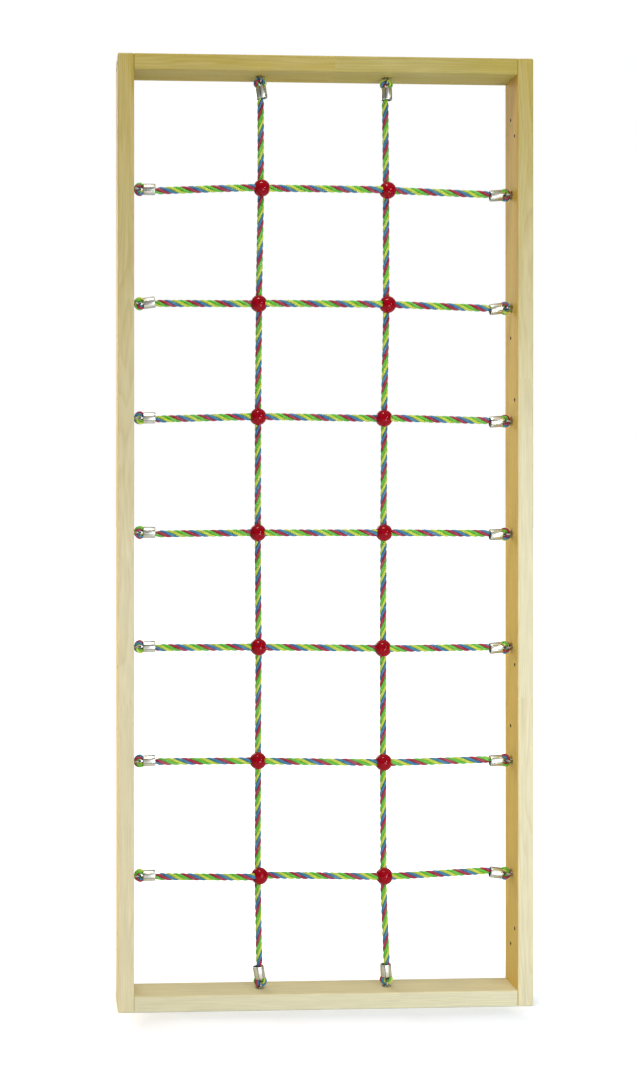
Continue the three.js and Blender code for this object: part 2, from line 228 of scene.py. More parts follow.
def loft_faces(ring_count, side_count, closed=False):
    """Faces that join rings of points; closed joins the last ring to the first, instead of two caps."""
    faces = []
    for ring in range(ring_count if closed else ring_count - 1):
        a = ring * side_count
        b = ((ring + 1) % ring_count) * side_count
        for i in range(side_count):
            j = (i + 1) % side_count
            faces.append((a + i, a + j, b + j, b + i))
    if not closed:
        last = (ring_count - 1) * side_count
        faces.append(tuple(reversed(range(side_count))))
        faces.append(tuple(range(last, last + side_count)))
    return faces


def loft(name, rings, material, closed=False):
    """A solid through rings of points, an array of ring x point x 3."""
    rings = np.asarray(rings, float)
    faces = loft_faces(rings.shape[0], rings.shape[1], closed)
    return mesh_object(name, rings.reshape(-1, 3), faces, material)


def round_ring(radii, height, count):
    """Points round +Z at one height, with one radius or one for each point."""
    angle = 2 * math.pi * np.arange(count) / count
    radii = np.broadcast_to(radii, count)
    return np.stack([radii * np.cos(angle), radii * np.sin(angle), np.full(count, height)], 1)


def axes_matrix(x_axis, y_axis, z_axis, origin):
    """The matrix that puts a piece's own axes along these, and its origin at this one."""
    columns = [list(x_axis) + [0], list(y_axis) + [0], list(z_axis) + [0], list(origin) + [1]]
    return Matrix(columns).transposed()


def smooth_step(value, low, high):
    """0 up to low, 1 from high on, and a smooth rise between them."""
    t = np.clip((np.asarray(value, float) - low) / (high - low), 0, 1)
    return t * t * (3 - 2 * t)


# ------------------------------------------------------------------ material helpers


def new_material(name):
    material = bpy.data.materials.new(name)
    material.use_nodes = True
    tree = material.node_tree
    tree.nodes.clear()
    shader = tree.nodes.new("ShaderNodeBsdfPrincipled")
    output = tree.nodes.new("ShaderNodeOutputMaterial")
    tree.links.new(shader.outputs["BSDF"], output.inputs["Surface"])
    return material, tree, shader


def add(tree, kind, inputs=None, **settings):
    """A node with its settings, and its inputs set to values or linked to sockets."""
    node = tree.nodes.new(kind)
    for key, value in settings.items():
        setattr(node, key, value)
    for key, value in (inputs or {}).items():
        if isinstance(value, bpy.types.NodeSocket):
            tree.links.new(value, node.inputs[key])
        else:
            node.inputs[key].default_value = value
    return node


def calc(tree, operation, *values):
    return add(tree, "ShaderNodeMath", dict(enumerate(values)), operation=operation).outputs[0]


def mix_colour(tree, share, a, b, blend="MIX"):
    """Colour a mixed with b; the Mix node's sockets for colours are 6 and 7, and 2 on its way out."""
    node = add(tree, "ShaderNodeMix", {0: share, 6: a, 7: b}, data_type="RGBA", blend_type=blend)
    return node.outputs[2]


def noise(tree, vector, scale, detail=3.0, roughness=0.55):
    inputs = {"Vector": vector, "Scale": scale, "Detail": detail, "Roughness": roughness}
    return add(tree, "ShaderNodeTexNoise", inputs).outputs["Fac"]


def remap(tree, value, source, target):
    """The value, carried from one range of (start, end) to another and held at its ends."""
    inputs = {0: value, 1: source[0], 2: source[1], 3: target[0], 4: target[1]}
    return add(tree, "ShaderNodeMapRange", inputs, clamp=True).outputs[0]


def bump(tree, shader, height, strength, distance):
    node = add(tree, "ShaderNodeBump", {"Height": height, "Strength": strength, "Distance": distance})
    tree.links.new(node.outputs["Normal"], shader.inputs["Normal"])


def srgb(*channels):
    """An 8-bit display colour as linear RGBA."""
    linear = []
    for channel in channels:
        share = channel / 255
        linear.append(share / 12.92 if share <= 0.04045 else ((share + 0.055) / 1.055) ** 2.4)
    return (*linear, 1)


# ------------------------------------------------------------------ materials

# Each as early and late wood: the lower boards' tone, and a darker, yellower one that paints shade towards
# the top.
LOWER_PINE = (srgb(227, 223, 192), srgb(209, 196, 152))
UPPER_SHADED_PINE = (srgb(184, 168, 86), srgb(156, 132, 58))
# Painted warm bounce light and shade on the faces towards the net.
INNER_SHADE_TINT = (1.0, 0.77, 0.27, 1)
WARM_CAST = (1.0, 0.93, 0.80, 1)
COOL_CAST = (0.93, 1.0, 1.06, 1)
# Painted shade in and round the fixing holes.
HOLE_SHADE = srgb(52, 30, 12)
FINGER_WIDTH = 2 * MM
FINGER_LENGTH = 10 * MM
RING_SPACING = 2.7 * MM
RING_SWAY = 0.035
PART_SHIFT = 3.1  # keeps the patterns on each side of a finger joint apart
PART_SEED = 7.3
PITH_SPREAD = 0.12  # across the board, about its middle
PITH_NEAREST = 0.07  # in front of the frame's middle plane
PITH_DEPTH_RANGE = 0.10
HALF_HEIGHT = cad_box[1].z / 2
HALF_DEPTH = cad_box[1].y


def joined_part(tree, length, depth, joints):
    """Counts the finger joints passed along a board, so each length of wood has its own number.

    The fingers show as a zigzag on the wide faces and as a straight line on the narrow ones.
    """
    zigzag = calc(tree, "PINGPONG", calc(tree, "ADD", depth, 1.0), FINGER_WIDTH)
    fingered = calc(tree, "MULTIPLY_ADD", zigzag, FINGER_LENGTH / FINGER_WIDTH, length)
    part = 0.0
    for joint in joints:
        part = calc(tree, "ADD", part, calc(tree, "GREATER_THAN", fingered, joint))
    return part


def late_wood(tree, across, depth, middle, random, bend):
    """Growth rings round the tree's pith: 0 in early wood, rising to nearly 1 before a ring ends.

    The pith lies outside the board, at a random place. bend changes slowly, and the rings sway with it.
    """
    pith_across = calc(tree, "MULTIPLY_ADD", random[0], PITH_SPREAD, middle - PITH_SPREAD / 2)
    pith_depth = calc(tree, "MULTIPLY_ADD", random[1], PITH_DEPTH_RANGE, PITH_NEAREST)
    waves = calc(tree, "SUBTRACT", noise(tree, bend, 14.0, detail=2.0), 0.5)
    sway = calc(tree, "MULTIPLY", waves, RING_SWAY)
    dx = calc(tree, "SUBTRACT", across, pith_across)
    dy = calc(tree, "ADD", depth, pith_depth)
    square = calc(tree, "MULTIPLY_ADD", dx, dx, calc(tree, "MULTIPLY", dy, dy))
    radius = calc(tree, "ADD", calc(tree, "SQRT", square), sway)
    ring = calc(tree, "FRACT", calc(tree, "DIVIDE", radius, RING_SPACING))
    ring_end = remap(tree, ring, (0.88, 1.0), (1.0, 0.0))
    return calc(tree, "MULTIPLY", calc(tree, "POWER", ring, 2.5), ring_end)


def heart_side(tree, tone, across, faces, net_middle, inner_shade_strength):
    """The wood painted orange on the face towards the net, which is the nearer to its middle: painted warm
    bounce light and shade.
    """
    inner_face = min(abs(face - net_middle) for face in faces)
    from_middle = calc(tree, "ABSOLUTE", calc(tree, "SUBTRACT", across, net_middle))
    from_face = calc(tree, "SUBTRACT", from_middle, inner_face)
    inner_shade_share = remap(tree, from_face, (0.5 * MM, 3 * MM), (inner_shade_strength, 0.0))
    return mix_colour(tree, inner_shade_share, tone, INNER_SHADE_TINT, "MULTIPLY")


def drilled(tree, tone, depth, length):
    """The stiles' wood with the walls and rims of the fixing holes darkened: painted shade in and round the
    holes.
    """
    down = calc(tree, "ABSOLUTE", calc(tree, "SUBTRACT", length, HALF_HEIGHT))
    nearest = 1.0
    for from_front, reach in FIXING_HOLES:
        aside = calc(tree, "SUBTRACT", depth, from_front * MM - HALF_DEPTH)
        above = calc(tree, "SUBTRACT", down, reach * MM)
        square = calc(tree, "MULTIPLY_ADD", aside, aside, calc(tree, "MULTIPLY", above, above))
        nearest = calc(tree, "MINIMUM", nearest, calc(tree, "SQRT", square))
    shaded_reach = (FIXING_HOLE_RADIUS + 0.8 * MM, FIXING_HOLE_RADIUS + 2.2 * MM)
    return mix_colour(tree, remap(tree, nearest, shaded_reach, (0.97, 0.0)), tone, HOLE_SHADE)


def pine(name, board_box, along, joints, seed, inner_shade_strength):
    """Finger-jointed pine, darker and yellower towards the top, which is painted shade for the light
    falling off upwards.

    along is the grain's direction, and the last argument how strongly the face towards the net is painted
    with warm bounce light and shade.
    """
    material, tree, shader = new_material(name)
    place = add(tree, "ShaderNodeTexCoord").outputs["Object"]
    x, depth, z = add(tree, "ShaderNodeSeparateXYZ", {0: place}).outputs
    if along == "Z":
        length, across, net_middle = z, x, 0.0
        faces = [corner.x for corner in board_box]
    else:
        length, across, net_middle = x, z, HALF_HEIGHT
        faces = [corner.z for corner in board_box]

    part = joined_part(tree, length, depth, joints)
    number = calc(tree, "MULTIPLY_ADD", part, PART_SEED, seed)
    chance = add(tree, "ShaderNodeTexWhiteNoise", {"W": number}, noise_dimensions="1D")
    random = add(tree, "ShaderNodeSeparateColor", {0: chance.outputs["Color"]}).outputs

    # Places that change slowly and quickly along the grain.
    slow = add(tree, "ShaderNodeCombineXYZ", {
        0: calc(tree, "MULTIPLY_ADD", part, PART_SHIFT, across),
        1: depth,
        2: calc(tree, "MULTIPLY", length, 0.11),
    }).outputs[0]
    quick = add(tree, "ShaderNodeCombineXYZ", {
        0: calc(tree, "MULTIPLY", across, 700.0),
        1: calc(tree, "MULTIPLY", depth, 700.0),
        2: calc(tree, "MULTIPLY", length, 12.0),
    }).outputs[0]
    late = late_wood(tree, across, depth, sum(faces) / 2, random, slow)
    fibre = noise(tree, quick, 1.0, detail=4.0, roughness=0.6)
    cloud = noise(tree, slow, 30.0, detail=3.0)
    band = noise(tree, slow, 110.0, detail=2.0)

    # Painted shade: the wood turns darker and yellower upwards, with a cloudy edge.
    height = calc(tree, "MULTIPLY_ADD", calc(tree, "SUBTRACT", cloud, 0.5), 0.7, z)
    upper_shade = remap(tree, height, (1.05, 2.1), (0.0, 1.0))
    share = calc(tree, "MULTIPLY", late, 0.5)
    tone = mix_colour(tree, upper_shade, mix_colour(tree, share, *LOWER_PINE), mix_colour(tree, share, *UPPER_SHADED_PINE))
    fibre_shade = remap(tree, fibre, (0.3, 0.75), (1.05, 0.88))
    band_shade = remap(tree, band, (0.3, 0.7), (1.03, 0.95))
    shade = calc(tree, "MULTIPLY", fibre_shade, band_shade)
    grey = add(tree, "ShaderNodeCombineColor", {0: shade, 1: shade, 2: shade}).outputs[0]
    tone = mix_colour(tree, 1.0, tone, grey, "MULTIPLY")
    tone = mix_colour(tree, 0.6, tone, mix_colour(tree, random[2], WARM_CAST, COOL_CAST), "MULTIPLY")
    tone = heart_side(tree, tone, across, faces, net_middle, inner_shade_strength)
    if along == "Z":
        tone = drilled(tree, tone, depth, length)

    tree.links.new(tone, shader.inputs["Base Color"])
    shader.inputs["Base Color"].default_value = LOWER_PINE[0]
    tree.links.new(remap(tree, fibre, (0.2, 0.8), (0.5, 0.7)), shader.inputs["Roughness"])
    shader.inputs["Specular IOR Level"].default_value = 0.22
    bump(tree, shader, calc(tree, "MULTIPLY_ADD", late, 0.5, fibre), 0.25, 0.25 * MM)
    return material


def strand_fibre(name, colour, shade):
    """Glossy twisted filament: yarns wound against the strand, and a little wear."""
    material, tree, shader = new_material(name)
    lay = add(tree, "ShaderNodeAttribute", attribute_name="lay").outputs["Vector"]
    along, around, _ = add(tree, "ShaderNodeSeparateXYZ", {0: lay}).outputs
    place = add(tree, "ShaderNodeTexCoord").outputs["Object"]
    yarns = 15.0
    turns_per_metre = 26.0
    wound = calc(tree, "MULTIPLY_ADD", along, turns_per_metre, around)
    ridge = calc(tree, "SINE", calc(tree, "MULTIPLY", wound, yarns * 2 * math.pi))
    ridge = calc(tree, "MULTIPLY_ADD", ridge, 0.5, 0.5)
    fuzz = noise(tree, place, 1600.0)
    worn = noise(tree, place, 60.0)
    valley = calc(tree, "MULTIPLY", calc(tree, "SUBTRACT", 1.0, ridge), 0.6)
    tone = mix_colour(tree, valley, colour, shade)
    pale = (*(0.6 * channel + 0.4 for channel in colour[:3]), 1)
    tone = mix_colour(tree, remap(tree, worn, (0.45, 0.8), (0.0, 0.22)), tone, pale)
    tree.links.new(tone, shader.inputs["Base Color"])
    tree.links.new(remap(tree, fuzz, (0.2, 0.8), (0.38, 0.62)), shader.inputs["Roughness"])
    shader.inputs["Sheen Weight"].default_value = 0.15
    shader.inputs["Sheen Roughness"].default_value = 0.4
    bump(tree, shader, calc(tree, "MULTIPLY_ADD", fuzz, 0.35, ridge), 0.5, 0.22 * MM)
    return material


def pressed_aluminium():
    """Bare aluminium with drag lines from the press along the sleeve, a cloudy bloom, and painted shade and
    dark reflections along the creases.
    """
    material, tree, shader = new_material("pressed_aluminium")
    place = add(tree, "ShaderNodeTexCoord").outputs["Object"]
    drawn_out = {"Vector": place, "Scale": (2400.0, 2400.0, 110.0)}
    drag = noise(tree, add(tree, "ShaderNodeMapping", drawn_out).outputs[0], 1.0, detail=4.0, roughness=0.6)
    cloud = noise(tree, place, 160.0, detail=4.0)
    bloom = remap(tree, cloud, (0.35, 0.7), (0.0, 0.6))
    tone = mix_colour(tree, bloom, srgb(236, 238, 226), srgb(200, 204, 196))
    # Painted shade and dark reflections along the creases, from a mask that each ferrule carries.
    crease_shade = add(tree, "ShaderNodeAttribute", attribute_name="crease_shade").outputs["Fac"]
    tone = mix_colour(tree, calc(tree, "MULTIPLY", crease_shade, 0.85), tone, srgb(74, 78, 60))
    tree.links.new(tone, shader.inputs["Base Color"])
    shader.inputs["Base Color"].default_value = srgb(218, 221, 212)
    shader.inputs["Metallic"].default_value = 1.0
    tree.links.new(remap(tree, drag, (0.2, 0.8), (0.28, 0.42)), shader.inputs["Roughness"])
    bump(tree, shader, calc(tree, "MULTIPLY_ADD", cloud, 0.5, drag), 0.12, 0.1 * MM)
    return material


def plated_steel(name, bright, dull, roughness):
    """Zinc-plated steel with faint mottling and rub marks."""
    material, tree, shader = new_material(name)
    place = add(tree, "ShaderNodeTexCoord").outputs["Object"]
    mottle = noise(tree, place, 420.0, detail=4.0)
    rub = noise(tree, place, 90.0)
    tone = mix_colour(tree, remap(tree, mottle, (0.3, 0.75), (0.0, 1.0)), bright, dull)
    tree.links.new(tone, shader.inputs["Base Color"])
    shader.inputs["Metallic"].default_value = 1.0
    worn_roughness = remap(tree, rub, (0.25, 0.75), (roughness, roughness + 0.2))
    tree.links.new(worn_roughness, shader.inputs["Roughness"])
    bump(tree, shader, mottle, 0.15, 0.1 * MM)
    return material


def red_plastic():
    """Deep red injection-moulded plastic with a gloss skin, a faint orange peel and fine scuffs."""
    material, tree, shader = new_material("red_plastic")
    place = add(tree, "ShaderNodeTexCoord").outputs["Object"]
    peel = noise(tree, place, 260.0, detail=2.0)
    scuff = noise(tree, place, 900.0, detail=4.0, roughness=0.7)
    swirl = noise(tree, place, 70.0, detail=2.0)
    tone = mix_colour(tree, remap(tree, swirl, (0.3, 0.7), (0.0, 1.0)), srgb(160, 0, 24), srgb(136, 0, 16))
    tree.links.new(tone, shader.inputs["Base Color"])
    shader.inputs["Base Color"].default_value = srgb(148, 0, 20)
    tree.links.new(remap(tree, scuff, (0.35, 0.8), (0.07, 0.14)), shader.inputs["Roughness"])
    shader.inputs["Specular IOR Level"].default_value = 0.17
    bump(tree, shader, calc(tree, "MULTIPLY_ADD", scuff, 0.05, peel), 0.025, 0.4 * MM)
    return material


SHADOW_FORWARD = 0.05  # the middle of the shadow on the floor, in front of the frame's middle plane
# Distances from that middle: the shadow is full up to the first and gone at the second.
SHADOW_SIDEWAYS = (0.38, 0.60)
SHADOW_FORWARDS = (0.04, 0.42)
SHADOW_GLOW = 0.16  # what the paper gives off in the shadow; it is 1 outside it
FLOOR_BOUNCE = 0.08  # what it gives off towards the object


def studio_floor():
    """White paper that fades into the white background all round a faint shadow below the frame."""
    material, tree, shader = new_material("studio_floor")
    place = add(tree, "ShaderNodeTexCoord").outputs["Object"]
    mottle = noise(tree, place, 1.5, detail=2.0)
    tree.links.new(mix_colour(tree, mottle, (0.74, 0.79, 0.88, 1), (0.77, 0.82, 0.91, 1)),
                   shader.inputs["Base Color"])
    shader.inputs["Roughness"].default_value = 0.9
    shader.inputs["Specular IOR Level"].default_value = 0.1
    shader.inputs["Emission Color"].default_value = (1, 1, 1, 1)
    x, y, _ = add(tree, "ShaderNodeSeparateXYZ", {0: place}).outputs
    sideways = calc(tree, "ABSOLUTE", x)
    forwards = calc(tree, "ABSOLUTE", calc(tree, "ADD", y, SHADOW_FORWARD))
    off_side = remap(tree, sideways, SHADOW_SIDEWAYS, (0, 1))
    off_front = remap(tree, forwards, SHADOW_FORWARDS, (0, 1))
    outside = calc(tree, "MAXIMUM", off_side, off_front)
    # Only the camera sees that glow.
    direct = add(tree, "ShaderNodeLightPath").outputs["Is Camera Ray"]
    strength = calc(tree, "MULTIPLY", direct, remap(tree, outside, (0, 1), (SHADOW_GLOW, 1.0)))
    tree.links.new(calc(tree, "MAXIMUM", strength, FLOOR_BOUNCE), shader.inputs["Emission Strength"])
    return material


BRIGHT_ZINC = plated_steel("bright_zinc", srgb(196, 196, 192), srgb(122, 124, 124), 0.26)
YELLOW_ZINC = plated_steel("yellow_zinc", srgb(214, 196, 130), srgb(176, 160, 122), 0.24)
ALUMINIUM = pressed_aluminium()
RED_PLASTIC = red_plastic()
STRAND_FIBRES = {
    "red": strand_fibre("fibre_red", srgb(186, 22, 66), srgb(96, 4, 40)),
    "green": strand_fibre("fibre_green", srgb(106, 212, 58), srgb(36, 112, 24)),
    "yellow": strand_fibre("fibre_yellow", srgb(208, 232, 74), srgb(140, 154, 18)),
    "blue": strand_fibre("fibre_blue", srgb(52, 142, 184), srgb(36, 44, 108)),
}

# ------------------------------------------------------------------ boards

BOARD_LOOKS = {
    # node: direction of the grain, places of its finger joints along that, seed, strength of the painted
    # warm shade on the face towards the net
    "left_stile": ("Z", (0.66, 1.59), 1.7, 0.5),
    "right_stile": ("Z", (0.67, 1.36), 4.1, 1.0),
    "top_rail": ("X", (0.02,), 8.2, 0.05),
    "bottom_rail": ("X", (0.16,), 11.6, 0.25),
}

for node, looks in BOARD_LOOKS.items():
    board = frame["nodes"][node]
    board.data.materials.clear()
    board.data.materials.append(pine(f"pine_{node}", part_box(node), *looks))


# ------------------------------------------------------------------ rope ends


class RopeEnd:
    """Where a rope's loop hangs: the foot of its eye on the board, and the directions there.

    lean is how far across the ferrule's open end leans, and exit_side is -1 or 1, the side across
    the ferrule on which the rope leaves it.
    """

    def __init__(self, foot, inward, across, lean, exit_side):
        self.foot = Vector(foot)
        self.inward = Vector(inward)
        self.across = Vector(across)
        self.lean = lean * MM
        self.exit_side = exit_side

    def point(self, height, offset):
        """The point at a height above the board and an offset across."""
        return self.foot + self.inward * height + self.across * offset

    def axis_offset(self, height):
        """How far across the ferrule's axis has leant at a height above the board."""
        return self.lean * (height - FERRULE_START) / FERRULE_LENGTH

    def ferrule_matrix(self):
        """Local +Z runs along the ferrule and +X across it."""
        start = self.point(FERRULE_START, 0)
        z_axis = (self.point(FERRULE_END, self.lean) - start).normalized()
        y_axis = z_axis.cross(self.across).normalized()
        return axes_matrix(y_axis.cross(z_axis), y_axis, z_axis, start)

    def eye_matrix(self):
        """Local +Z runs out of the board and +X across the net's plane."""
        y_axis = self.inward.cross(self.across)
        return axes_matrix(self.across, y_axis, self.inward, self.foot)

    def loop(self):
        """The rope from its tail inside the ferrule, round the eye and out to the span, with its radius."""
        side = self.exit_side
        tail = FERRULE_END - TAIL_CUT
        entry = FERRULE_START + LOOP_ENTRY
        entry_spread = PRESSED_SPREAD + 0.3 * MM
        route = [
            (self.point(tail, self.axis_offset(tail) - side * PRESSED_SPREAD), PRESSED_RADIUS),
            (self.point(entry, -side * entry_spread), PRESSED_RADIUS),
        ]
        for i in range(LOOP_BEND_POINTS + 1):
            angle = math.pi * i / LOOP_BEND_POINTS - math.pi / 2
            height = LOOP_CENTRE - LOOP_BEND_RADIUS * math.cos(angle)
            offset = side * LOOP_BEND_RADIUS * math.sin(angle)
            route.append((self.point(height, offset), LOOP_ROPE_RADIUS))
        middle = (FERRULE_START + FERRULE_END) / 2
        middle_spread = PRESSED_SPREAD - 0.6 * MM
        exit_height = FERRULE_END - 1 * MM
        route += [
            (self.point(entry, side * entry_spread), PRESSED_RADIUS),
            (self.point(middle, self.axis_offset(middle) + side * middle_spread), PRESSED_RADIUS),
            (self.point(exit_height, self.lean + side * ROPE_EXIT), PRESSED_RADIUS + 0.4 * MM),
        ]
        return route


def centre(node):
    low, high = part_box(node)
    return (low + high) / 2


def row_ends(row):
    """Both ends of a row's rope, by the stile that holds them."""
    left_lean, right_lean = ROW_LEANS[row - 1]
    left_foot = (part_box("left_stile")[1].x, 0, centre(f"screw_eye_{row}_left").z)
    right_foot = (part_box("right_stile")[0].x, 0, centre(f"screw_eye_{row}_right").z)
    return {
        "left": RopeEnd(left_foot, (1, 0, 0), (0, 0, 1), left_lean, -1),
        "right": RopeEnd(right_foot, (-1, 0, 0), (0, 0, 1), right_lean, 1),
    }


def column_ends(side):
    """Both ends of a column's rope, by the rail that holds them."""
    bottom_lean, top_lean = COLUMN_LEANS[side]
    x = centre(f"screw_eye_{side}_bottom").x
    return {
        "bottom": RopeEnd((x, 0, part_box("bottom_rail")[1].z), (0, 0, 1), (1, 0, 0), bottom_lean, 1),
        "top": RopeEnd((x, 0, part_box("top_rail")[0].z), (0, 0, -1), (1, 0, 0), top_lean, -1),
    }


def ball_frame(row, side):
    """A ball's frame: its origin on the column rope's axis, its X along the row rope's bore."""
    share = 1 / 3 if side == "left" else 2 / 3
    right, up, turn = CROSSINGS[side][row - 1]
    x = centre(f"screw_eye_{side}_bottom").x + right * MM
    z = centre(f"screw_eye_{row}_left").z - share * RIGHT_EYE_DROP + up * MM
    return Matrix.Translation((x, ROPE_DEPTH, z)) @ Matrix.Rotation(math.radians(turn), 4, "Z")


# ------------------------------------------------------------------ ropes


def flowing_line(stations, step):
    """Points and radii at even steps on a smooth curve through stations of (point, radius)."""
    points = np.array([list(point) for point, _ in stations])
    radii = np.array([radius for _, radius in stations])
    points = np.vstack([2 * points[0] - points[1], points, 2 * points[-1] - points[-2]])
    knots = np.concatenate([[0], np.cumsum(np.sqrt(np.linalg.norm(np.diff(points, axis=0), axis=1)))])
    line = []
    width = []
    for i in range(1, len(points) - 2):
        count = max(2, math.ceil(np.linalg.norm(points[i + 1] - points[i]) / step))
        for j in range(count):
            t = knots[i] + (knots[i + 1] - knots[i]) * j / count
            line.append(catmull_rom(points[i - 1:i + 3], knots[i - 1:i + 3], t))
            share = smooth_step(j / count, 0, 1)
            width.append(radii[i - 1] + (radii[i] - radii[i - 1]) * share)
    line.append(points[-2])
    width.append(radii[-1])
    return np.array(line), np.array(width)


def catmull_rom(p, k, t):
    """The centripetal Catmull-Rom spline through four points p with knots k, at t."""
    a = [((k[i + 1] - t) * p[i] + (t - k[i]) * p[i + 1]) / (k[i + 1] - k[i]) for i in range(3)]
    b = [((k[i + 2] - t) * a[i] + (t - k[i]) * a[i + 1]) / (k[i + 2] - k[i]) for i in range(2)]
    return ((k[2] - t) * b[0] + (t - k[1]) * b[1]) / (k[2] - k[1])


def bore_stations(frame, offset, axis, radius):
    """The rope through a ball: full size at both mouths, squeezed where the two ropes cross."""
    half = [(SQUEEZE_REACH, SQUEEZED_RADIUS), (MOUTH_REACH, radius), (BORE_REACH, radius)]
    stations = [(-reach, size) for reach, size in reversed(half)] + half
    return [(frame @ (Vector(offset) + Vector(axis) * reach), size) for reach, size in stations]


def rope_stations(first, last, middle, radius):
    """The whole rope: its first loop, the span through the balls, and its last loop."""
    start = first.loop()
    end = last.loop()[::-1]
    after = start[-1][0].lerp(middle[0][0], SWELL_SHARE)
    before = end[0][0].lerp(middle[-1][0], SWELL_SHARE)
    return start + [(after, radius)] + middle + [(before, radius)] + end


def path_length(line):
    """How far along a line each of its points lies."""
    return np.concatenate([[0], np.cumsum(np.linalg.norm(np.diff(line, axis=0), axis=1))])


def strand_section():
    """A strand's outline across the rope, as (outward, sideways) from the rope's axis."""
    angle = math.pi + 2 * math.pi * np.arange(STRAND_SIDES) / STRAND_SIDES
    outward = STRAND_CENTRE + STRAND_RADIUS * np.cos(angle)
    sideways = STRAND_RADIUS * np.sin(angle)
    limit = np.maximum(outward - STRAND_GAP, STRAND_GAP)  # neighbours meet at 45 degrees
    return outward, np.clip(sideways, -limit, limit)


def rope_strands(name, line, width, turn, start_angle, order):
    """Four strands wound round a line; start_angle is the first one's at the line's start."""
    tangent = np.gradient(line, axis=0)
    tangent /= np.linalg.norm(tangent, axis=1, keepdims=True)
    front = np.array([0, -1, 0]) - tangent * -tangent[:, 1:2]
    front /= np.linalg.norm(front, axis=1, keepdims=True)
    side = np.cross(front, tangent)
    along = path_length(line)
    outward, sideways = strand_section()
    scale = width[:, None, None]
    around = np.arange(STRAND_SIDES) / STRAND_SIDES
    pieces = []
    for place, colour in enumerate(order):
        angle = start_angle + 2 * math.pi * (along / turn + place / 4)
        cos = np.cos(angle)[:, None]
        sin = np.sin(angle)[:, None]
        out = side * cos + front * sin
        lateral = front * cos - side * sin
        offset = out[:, None, :] * outward[None, :, None] + lateral[:, None, :] * sideways[None, :, None]
        strand = loft(f"{name}_{colour}_strand", line[:, None, :] + scale * offset, STRAND_FIBRES[colour])
        lay = np.zeros((len(line), STRAND_SIDES, 3), np.float32)
        lay[:, :, 0] = along[:, None]
        lay[:, :, 1] = around[None, :]
        attribute = strand.data.attributes.new("lay", "FLOAT_VECTOR", "POINT")
        attribute.data.foreach_set("vector", lay.ravel())
        pieces.append(strand)
    return pieces


def build_rope(name, stations, axis, twist, order):
    """A rope's four strands. It runs along X where axis is 0, and along Z where it is 2."""
    line, width = flowing_line(stations, ROPE_STEP)
    turn, red_at = (value * MM for value in twist)
    along = path_length(line)
    loop_points = int(LOOP_SHARE * len(line))
    span = slice(loop_points, len(line) - loop_points)
    distance = np.interp(red_at, line[span, axis], along[span])
    start_angle = math.pi / 2 - 2 * math.pi * distance / turn
    for piece in rope_strands(name, line, width, turn, start_angle, order):
        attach(piece, "root")
        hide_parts(name)


# ------------------------------------------------------------------ ferrules


def stadium_radius(angle, half_length, half_width):
    """Distance from the middle to the edge of a slot with round ends, the slot along angle 0."""
    offset = half_length - half_width
    sin = np.abs(np.sin(angle))
    cos = np.abs(np.cos(angle))
    flat = half_width / np.maximum(sin, 1e-6)
    ends = offset * cos + np.sqrt(np.maximum(half_width**2 - (offset * sin) ** 2, 0))
    return np.where(flat * cos <= offset, flat, ends)


def build_ferrule(name, end, seed):
    """A pressed sleeve: flats outside with a crease between them, and a slot for the two runs of rope."""
    pitch = 2 * math.pi / FERRULE_FLATS
    angle = 2 * math.pi * np.arange(FERRULE_POINTS) / FERRULE_POINTS
    shift = pitch / 2 + np.random.default_rng(seed).uniform(-FLATS_TURN, FLATS_TURN)
    within = (angle + shift) % pitch - pitch / 2
    flat_radius = FERRULE_RADIUS * math.cos(pitch / 2) / np.cos(within)
    crease = np.exp(-((pitch / 2 - np.abs(within)) / CREASE_WIDTH) ** 2)
    round_share = (1 - FERRULE_FLATNESS) * FERRULE_RADIUS
    outside = FERRULE_FLATNESS * flat_radius + round_share - CREASE_DEPTH * crease
    slot = stadium_radius(angle, SLOT_HALF_LENGTH, SLOT_HALF_WIDTH)

    # Up the outside, and down the slot.
    bottom_edge = [(height * MM, scale) for height, scale in FERRULE_EDGE]
    top_edge = [(FERRULE_LENGTH - height, scale) for height, scale in reversed(bottom_edge)]
    bottom_mouth = [(height * MM, wider * MM) for height, wider in SLOT_MOUTH]
    top_mouth = [(FERRULE_LENGTH - height, wider) for height, wider in bottom_mouth]
    rings = []
    for height, scale in bottom_edge + top_edge:
        rings.append(round_ring(outside * scale, height, FERRULE_POINTS))
    outer_count = len(rings)
    for height, wider in top_mouth + bottom_mouth[::-1]:
        rings.append(round_ring(slot + wider, height, FERRULE_POINTS))
    piece = loft(name, rings, ALUMINIUM, closed=True)

    # A mask of the creases outside, where the sleeve's material paints shade and dark reflections.
    crease_shade = np.ones((len(rings), FERRULE_POINTS), np.float32)
    crease_shade[:outer_count] = crease
    attribute = piece.data.attributes.new("crease_shade", "FLOAT", "POINT")
    attribute.data.foreach_set("value", crease_shade.ravel())
    piece.matrix_world = end.ferrule_matrix()
    return piece


# ------------------------------------------------------------------ screw eyes and corner screws


